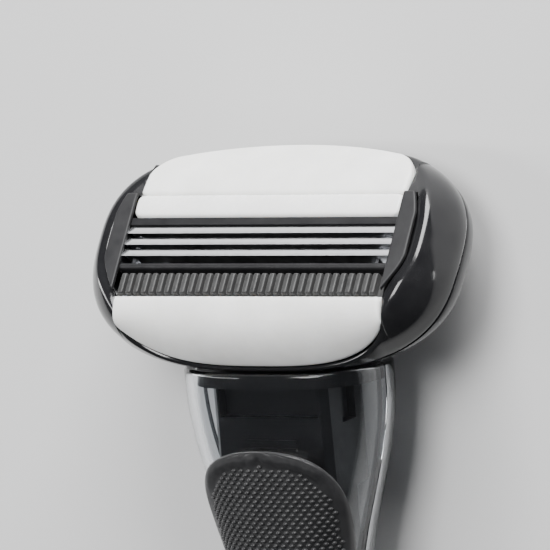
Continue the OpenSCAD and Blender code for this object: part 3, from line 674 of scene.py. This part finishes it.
def fin(x):
    """One rubber fin: flat sides, a top rounded across and along."""
    width, length = 2 * FIN_HALF, FIN_Y1 - FIN_Y0

    def at(u, v, t):
        return (x - FIN_HALF + width * u, FIN_Y0 + length * v, FIN_TOP - t)

    return pillow(spread(width, 0.2, 3), spread(length, 0.3, 6), at,
                  lambda u, v: (width, length), 0.2, FIN_TOP - FIN_FOOT)


points, faces = pillow(
    spread(2 * BLADE_HALF - 0.1, 0.1, 2), spread(FIN_Y1 - FIN_Y0, 0.1, 2),
    lambda u, v, t: ((2 * u - 1) * (BLADE_HALF - 0.05), FIN_Y0 + (FIN_Y1 - FIN_Y0) * v, -0.93 - t),
    lambda u, v: (2 * BLADE_HALF - 0.1, FIN_Y1 - FIN_Y0), 0.1, 0.5)
for k in range(fin_count):
    more, sides = fin((k - (fin_count - 1) / 2) * FIN_PITCH)
    faces += [tuple(i + len(points) for i in f) for f in sides]
    points += more
guard = add_mesh("guard_fins", points, faces, HEAD, FINS, "head", "fin_rubber", angle=50)
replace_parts(guard, "guard_strip")

# ---------------------------------------------------------------- handle shape
HANDLE_L = (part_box("end_cap")[1].y - shell_lo.y) / MM + SHELL_Y0
NECK_W, WAIST_W, BELLY_W, TAIL_W = 24.5, 13.6, 16.8, 12.4
WAIST_T, BELLY_T, TAIL_T = 14.4, 15.6, 11.2
WAIST_AT, BELLY_AT = 27.0, 65.0
SECTION_N = 2.4
TAIL_FLAT = 0.9
CAP_START = HANDLE_L - 10
SHELL_WALL = 1.2
GRIP_T = 0.8
REST_Z = axis_height / MM


def ease(a, b, s):
    return a + (b - a) * (1 - math.cos(math.pi * min(1.0, max(0.0, s)))) / 2


def along(h, neck, waist, belly, tail):
    if h < WAIST_AT:
        return ease(neck, waist, h / WAIST_AT)
    if h < BELLY_AT:
        return ease(waist, belly, (h - WAIST_AT) / (BELLY_AT - WAIST_AT))
    return ease(belly, tail, (h - BELLY_AT) / (HANDLE_L - BELLY_AT))


def section(h, a, inset):
    """Point of the handle's skin at a height h and an angle a in degrees."""
    c, s = math.cos(math.radians(a)), math.sin(math.radians(a))
    middle = along(h, 0, 0, 0, TAIL_T / 2 - REST_Z - TAIL_FLAT)
    half_w = along(h, NECK_W, WAIST_W, BELLY_W, TAIL_W) / 2 - inset
    half_t = along(h, NECK_T, WAIST_T, BELLY_T, TAIL_T) / 2 - inset
    return (half_w * spow(c, 2 / SECTION_N), h, middle + half_t * spow(s, 2 / SECTION_N))


# ---------------------------------------------------------------- clear shells
def shell_ring(h, a0, a1, shrink):
    """A half ring of the clear shell, flat below; shrink thins its lip at the collar end."""
    n = 64
    angles = [a0 + (a1 - a0) * k / n for k in range(n + 1)]
    outer = [section(h, a, shrink) for a in angles]
    return ([(x, y, max(z, -REST_Z)) for x, y, z in outer]
            + [section(h, a, SHELL_WALL - shrink) for a in reversed(angles)])


LIP = 0.45
SLOT_LO, SLOT_HI = (-2.3, 6.2, -12), (2.3, 12.8, -4)
lip_rows = [(SHELL_Y0 + LIP * (1 - math.sin(math.radians(t))), LIP * (1 - math.cos(math.radians(t))))
            for t in (90, 60, 40, 20)]
shell_rows = lip_rows + [
    (SHELL_Y0 + LIP + (CAP_START - SHELL_Y0 - LIP) * k / 90, 0.0) for k in range(91)]
for name, node, a0, a1 in (("clear_front", "front_shell", 0.4, 179.6),
                           ("clear_rear", "rear_shell", 180.4, 359.6)):
    shell = add_mesh(name, *loft([shell_ring(h, a0, a1, s) for h, s in shell_rows]), HANDLE, CLEAR,
                     "handle", "clear_shell", angle=40)
    if node == "rear_shell":
        cut(shell, HANDLE, SLOT_LO, SLOT_HI, 0.3)
        shell.data.set_sharp_from_angle(angle=math.radians(40))
    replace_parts(shell, node)

# ---------------------------------------------------------------- grips
GRIP_BASE = 0.45
BORDER_W = 1.2
DOT_PITCH, DOT_ROW = 1.0, 0.5
DOT_R, DOT_H = 0.27, 0.26


def arch(h, y0, y1, r0, r1, full):
    """Half angle of a grip from its middle line, closing in an arch at each end."""
    s = min(1.0, (h - y0) / r0 if h < (y0 + y1) / 2 else (y1 - h) / r1)
    return min(76.0, full * math.sqrt(max(0.0016, 1 - (1 - s) ** 2)))


def grip_rows(y0, y1, r0, r1):
    def turn(k):
        return 1 - math.cos(math.radians(90 * k / 30))

    mid = [r0 + (y1 - y0 - r0 - r1) * k / 110 for k in range(1, 110)]
    return ([y0 + r0 * turn(k) for k in range(31)] + [y0 + m for m in mid]
            + [y1 - r1 * turn(k) for k in range(30, -1, -1)])


def grip(name, side, y0, y1, r0, r1, full):
    """A rubber grip: a raised smooth border round a field of small dots."""
    ts = [-1 + 2 * v for v in spread(16.0, 2.2, 40)]
    rows = grip_rows(y0, y1, r0, r1)
    edge = []
    for h in rows:
        for s in (-1, 1):
            edge.append(Vector(section(h, side * 90 + s * arch(h, y0, y1, r0, r1, full), -GRIP_T)))
    tree = KDTree(len(edge))
    for i, p in enumerate(edge):
        tree.insert(p, i)
    tree.balance()

    def height(p):
        """Raised border, rounded at its outer edge, falling to the field inside it."""
        s = tree.find(p)[2]
        if s < 0.35:
            return GRIP_T - 0.35 + math.sqrt(max(0.0, 0.35**2 - (0.35 - s) ** 2))
        step = min(1.0, max(0.0, (s - BORDER_W) / 0.3))
        return GRIP_T - (GRIP_T - GRIP_BASE) * (3 * step**2 - 2 * step**3)

    rings = []
    for h in rows:
        half = arch(h, y0, y1, r0, r1, full)
        angles = [side * 90 + half * t for t in ts]
        top = []
        for a in angles:
            lift = height(Vector(section(h, a, -GRIP_T)))
            top.append(section(h, a, -lift))
        rings.append(top + [section(h, a, -0.07) for a in reversed(angles)])
    base = add_mesh(name, *loft(rings), HANDLE, GRIP, "handle", "grip_rubber", angle=55)

    points, faces = [], []
    row = 0
    h = y0 + BORDER_W + 0.5
    while h < y1 - BORDER_W - 0.4:
        half = arch(h, y0, y1, r0, r1, full)
        angles = [side * 90 - half + 2 * half * k / 120 for k in range(121)]
        skin = [Vector(section(h, a, -GRIP_T)) for a in angles]
        runs = np.concatenate([[0], np.cumsum([(q - p).length for p, q in zip(skin, skin[1:])])])
        runs -= runs[-1] / 2
        count = int(runs[-1] / DOT_PITCH) + 2
        for k in range(-count, count + 1):
            run = (k + (row % 2) / 2) * DOT_PITCH
            if abs(run) > runs[-1]:
                continue
            a = float(np.interp(run, runs, angles))
            if tree.find(Vector(section(h, a, -GRIP_T)))[2] < BORDER_W + 0.55:
                continue
            foot = Vector(section(h, a, -GRIP_BASE + 0.05))
            out = (Vector(section(h, a, -GRIP_T)) - foot).normalized()
            side_way = (Vector(section(h, a + 1, -GRIP_BASE)) - Vector(section(h, a - 1, -GRIP_BASE)))
            side_way.normalize()
            up = out.cross(side_way)
            first = len(points)
            for ring_r, ring_h in ((1.0, 0.0), (0.85, 0.6), (0.5, 0.92)):
                for q in range(6):
                    b = math.radians(60 * q)
                    off = side_way * (DOT_R * 1.25 * ring_r * math.cos(b)) + up * (
                        DOT_R * 0.85 * ring_r * math.sin(b))
                    points.append(foot + off + out * ((DOT_H + 0.05) * ring_h))
            points.append(foot + out * (DOT_H + 0.05))
            for ring in (0, 1):
                for q in range(6):
                    q2 = (q + 1) % 6
                    base_i = first + ring * 6
                    faces.append((base_i + q, base_i + q2, base_i + 6 + q2, base_i + 6 + q))
            faces += [(first + 12 + q, first + 12 + (q + 1) % 6, first + 18) for q in range(6)]
            faces.append(tuple(first + q for q in reversed(range(6))))
        h += DOT_ROW
        row += 1
    dots = add_mesh(name + "_dots", points, faces, HANDLE, GRIP, "handle", "grip_rubber")
    return base, dots


for piece in grip("grip_front", 1, 6.8, HANDLE_L - 18, 20.0, 9.0, 80.0):
    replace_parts(piece, "front_grip")
for piece in grip("grip_rear", -1, 22.0, HANDLE_L - 30, 9.0, 9.0, 70.0):
    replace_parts(piece, "rear_grip")


# ---------------------------------------------------------------- end cap
def cap_ring(h, inset):
    ring = []
    for i in range(128):
        x, y, z = section(h, i * 360 / 128, inset)
        ring.append((x, y, max(z, -REST_Z)))
    return ring


cap_rows = [(CAP_START - 6, SHELL_WALL + 0.1), (CAP_START + 0.05, SHELL_WALL + 0.1),
            (CAP_START + 0.05, 0.25), (CAP_START + 0.12, 0.08), (CAP_START + 0.3, 0.0)]
cap_rows += [(CAP_START + 0.3 + (HANDLE_L - CAP_START - 0.3) * math.sin(math.radians(90 * k / 22)),
              3.2 * (1 - math.cos(math.radians(90 * k / 22)))) for k in range(1, 23)]
cap = add_mesh("tail_cap", *loft([cap_ring(h, i) for h, i in cap_rows]), HANDLE, GLOSS_BLACK,
               "handle", "gloss_black", angle=40)
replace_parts(cap, "end_cap")

# ---------------------------------------------------------------- release button
button_lo, button_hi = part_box("release_button")
BUTTON_Y = ((button_lo.y + button_hi.y) / 2 - HANDLE.translation.y) / MM
BUTTON_Z = (button_lo.z - HANDLE.translation.z) / MM
BUTTON_HX, BUTTON_HY = 2.35, 4.3


def button_rings():
    """An oval thumb pad with cross ridges, and its stem below."""
    rings = []
    n = 72
    profile = [(0.82, 1.08), (0.97, 0.96), (1.0, 0.75), (1.0, 0.45), (0.97, 0.18), (0.9, 0.03)]
    for share, z in profile:
        rings.append([(BUTTON_HX * share * math.cos(math.tau * k / n),
                       BUTTON_Y + BUTTON_HY * share * math.sin(math.tau * k / n),
                       BUTTON_Z + z) for k in range(n)])
    for share in [0.86 - 0.05 * k for k in range(17)]:
        ring = []
        for k in range(n):
            y = BUTTON_HY * share * math.sin(math.tau * k / n)
            ridge = 0.13 * (1 + math.cos(math.tau * y / 0.9)) if abs(y) < 2.9 else 0.0
            ring.append((BUTTON_HX * share * math.cos(math.tau * k / n), BUTTON_Y + y,
                         BUTTON_Z + 0.02 + ridge))
        rings.append(ring)
    return rings


button = add_mesh("thumb_button", *loft(button_rings()), HANDLE, BUTTON,
                  "button", "button_grey", angle=60)
STEM_X, STEM_Y = 4.2, 3.0
BUTTON_TOP = float(button_hi.z - HANDLE.translation.z) / MM
stem = add_mesh("button_stem", *pillow(
    spread(STEM_X, 0.2, 3), spread(STEM_Y, 0.2, 3),
    lambda u, v, t: (STEM_X * (u - 0.5), BUTTON_Y + STEM_Y * (v - 0.5), BUTTON_TOP - t),
    lambda u, v: (STEM_X, STEM_Y), 0.1, float(button_hi.z - button_lo.z) / MM - 0.8),
    HANDLE, BUTTON, "button", "button_grey", angle=50)
for piece in (button, stem):
    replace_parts(piece, "release_button")

# ---------------------------------------------------------------- finishes of the CAD pieces
FINISHES = {
    "upper_bar_tray": BLACK, "lower_bar_tray": BLACK, "cap_band": BLACK, "guard_bar": BLACK,
    "blade_tray": BLACK, "left_clip": CLIP, "right_clip": CLIP, "pivot_bracket": BLACK,
    "cartridge_hub": BLACK, "plunger": PLUNGER, "plunger_spring": SPRING, "docking_arm": CORE,
    "neck_collar": BLACK, "inner_core": CORE, "core_spine": CORE, "ejector": CORE,
    "button_spring": SPRING,
}
for n in (1, 2, 3):
    FINISHES[f"blade_{n}"] = BLADE
    FINISHES[f"blade_{n}_support"] = SUPPORT
    FINISHES[f"blade_{n}_springs"] = SPRING
ROUNDED = {"cap_band": 0.1, "guard_bar": 0.08, "pivot_bracket": 0.15, "cartridge_hub": 0.25,
           "docking_arm": 0.2, "neck_collar": 0.15, "inner_core": 0.15, "blade_tray": 0.08,
           "left_clip": 0.04, "right_clip": 0.04, "ejector": 0.15, "upper_bar_tray": 0.1,
           "lower_bar_tray": 0.1}
for name, obj in nodes.items():
    finish = FINISHES.get(name)
    if finish is None:
        continue
    for s in obj.material_slots:
        s.material = finish
    if name in ROUNDED:
        edge = obj.modifiers.new("edge", "BEVEL")
        edge.width, edge.segments = ROUNDED[name] * MM, 3
        edge.limit_method, edge.angle_limit = "ANGLE", math.radians(40)
        edge.use_clamp_overlap = True

# ---------------------------------------------------------------- floor, light and camera
FLOOR_GAP = 0.02
bpy.ops.mesh.primitive_plane_add(size=6)
floor = bpy.context.active_object
floor.name = "floor"
floor.location.z = -FLOOR_GAP * MM
mat, tree, sh = principled("floor_paper")
floor_vec = coords(tree)
tree.links.new(tint(tree, noise(tree, floor_vec, 0.01, 3), (0.62, 0.62, 0.62), (0.68, 0.68, 0.68)),
               sh.inputs["Base Color"])
sh.inputs["Roughness"].default_value = 0.75
floor.data.materials.append(mat)

MIDDLE = HEAD.translation.copy()
# Directions of the picture, in the head's frame: to its right, up and towards the camera
VIEW_RIGHT = Vector((0.866, 0.2298, -0.444))
VIEW_UP = Vector((0.0, 0.8885, 0.459))
right = (HEAD_AXES @ VIEW_RIGHT).normalized()
up = (HEAD_AXES @ VIEW_UP).normalized()
back = right.cross(up).normalized()
up = back.cross(right)
DISTANCE = 0.6
PICTURE_W = 0.0607
AIM = MIDDLE + right * (2.1 * MM) - up * (3.4 * MM)


def look(name, place, target, size, power, color=(1, 1, 1), size_y=None):
    """A soft rectangular lamp."""
    data = bpy.data.lights.new(name, "AREA")
    data.shape = "RECTANGLE"
    data.size, data.size_y = size, size_y or size
    data.energy = power
    data.color = color
    lamp = bpy.data.objects.new(name, data)
    bpy.context.scene.collection.objects.link(lamp)
    lamp.location = place
    lamp.rotation_euler = (Vector(target) - Vector(place)).to_track_quat("-Z", "Y").to_euler()
    return lamp


def seen(r, u, b):
    """A place given to the picture's right, up and towards the camera."""
    return AIM + right * r + up * u + back * b


look("top_light", seen(0.0, 0.42, 0.25), MIDDLE, 0.3, 6.6)
look("front_light", seen(-0.25, 0.12, 0.5), MIDDLE, 0.25, 3.6)
look("right_strip", seen(0.38, 0.05, 0.02), MIDDLE, 0.06, 1.2, size_y=0.4)
look("left_strip", seen(-0.38, 0.0, -0.02), MIDDLE, 0.05, 1.0, size_y=0.4)

world = bpy.data.worlds.new("studio")
bpy.context.scene.world = world
world.use_nodes = True
sky = world.node_tree.nodes["Background"]
sky.inputs["Color"].default_value = (0.9, 0.93, 1.0, 1)
sky.inputs["Strength"].default_value = 0.1

cam_data = bpy.data.cameras.new("camera")
cam_data.sensor_width = 36.0
cam_data.lens = 36.0 * DISTANCE / PICTURE_W
cam_data.clip_start, cam_data.clip_end = 0.02, 10
camera = bpy.data.objects.new("camera", cam_data)
bpy.context.scene.collection.objects.link(camera)
pose = Matrix((right, up, back)).transposed().to_4x4()
pose.translation = AIM + back * DISTANCE
camera.matrix_world = pose
bpy.context.scene.camera = camera

bpy.context.view_layer.update()
